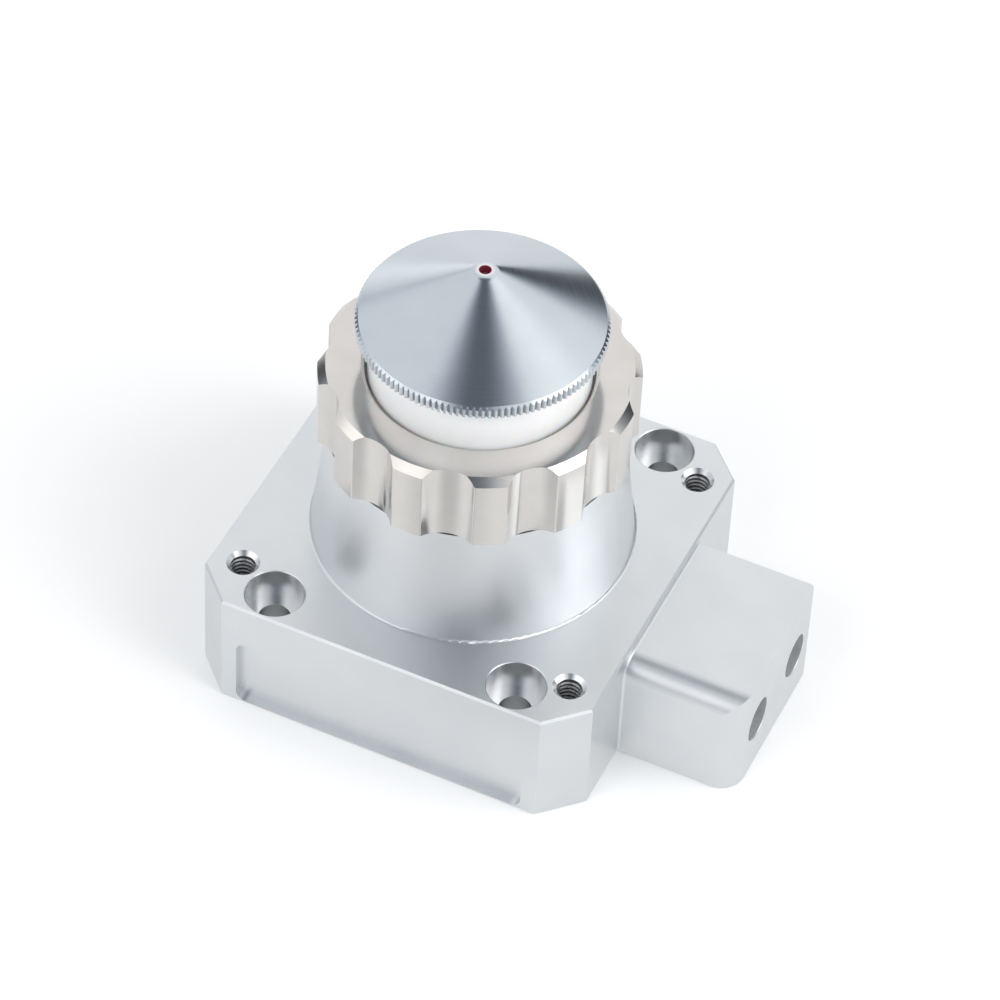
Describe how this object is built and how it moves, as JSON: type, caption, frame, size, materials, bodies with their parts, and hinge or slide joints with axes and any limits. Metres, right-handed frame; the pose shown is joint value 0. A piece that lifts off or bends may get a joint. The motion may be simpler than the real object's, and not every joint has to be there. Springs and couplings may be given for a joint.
{
  "type": "laser cutting head nozzle end",
  "caption": "Square flanged nozzle end of a laser cutting head: tapered neck, fluted lock nut, white ceramic, knurled conical nozzle and a side block with two ports.",
  "frame": {"origin": "centre of the flange's bottom face, on the beam axis, at the mouth of the register bore", "axes": "+Z along the beam to the nozzle's tip, +X out of the block with the two ports, -Y out of the flange's face with the shallow pocket"},
  "size_m": [0.0715, 0.055, 0.0636],
  "materials": {
    "body_aluminium": "bead-blasted satin",
    "nut_steel": "polished",
    "white_ceramic": "glazed gloss",
    "nozzle_chrome": "turned and chrome plated",
    "insert_brass": "turned",
    "seal_rubber": "matte",
    "white_insulator": "matte",
    "contact_metal": "gold plated",
    "wire_metal": "tinned",
    "spring_steel": "drawn wire",
    "pin_steel": "ground"
  },
  "bodies": {
    "body": {"sensor_body": "body_aluminium", "face_seal": "seal_rubber", "locating_pin": "pin_steel", "probe_bush": "white_insulator", "probe_barrel": "contact_metal", "probe_spring": "spring_steel", "signal_wire": "wire_metal", "wire_sleeve": "white_insulator", "socket_shell": "contact_metal", "socket_insulator": "white_insulator", "socket_contact": "contact_metal"},
    "ceramic": {"ceramic_body": "white_ceramic", "thread_insert": "insert_brass", "contact_disc": "contact_metal", "contact_pin": "contact_metal", "ceramic_seal": "seal_rubber"},
    "nut": {"lock_nut": "nut_steel"},
    "nozzle": {"nozzle": "nozzle_chrome"},
    "plunger": {"probe_plunger": "contact_metal"}
  },
  "joints": [
    {"name": "ceramic_lift", "type": "slide", "parent": "body", "child": "ceramic", "axis": [0, 0, 1], "range_m": [0, 0.00525]},
    {"name": "nut_turn", "type": "hinge", "parent": "ceramic", "child": "nut", "pos_m": [0, 0, 0.0415], "axis": [0, 0, 1], "range_deg": [0, 1260]},
    {"name": "nozzle_turn", "type": "hinge", "parent": "ceramic", "child": "nozzle", "pos_m": [0, 0, 0.0545], "axis": [0, 0, 1], "range_deg": [0, 1710]},
    {"name": "probe_press", "type": "slide", "parent": "body", "child": "plunger", "axis": [0, 0, 1], "range_m": [-0.0008, 0], "stiffness_N_per_m": 300, "springref_m": 0.001, "deforming": ["probe_spring"]}
  ],
  "couplings": [
    {"joint": "nut_turn", "follows": "ceramic_lift", "rad_per_m": 4188.8}
  ]
}
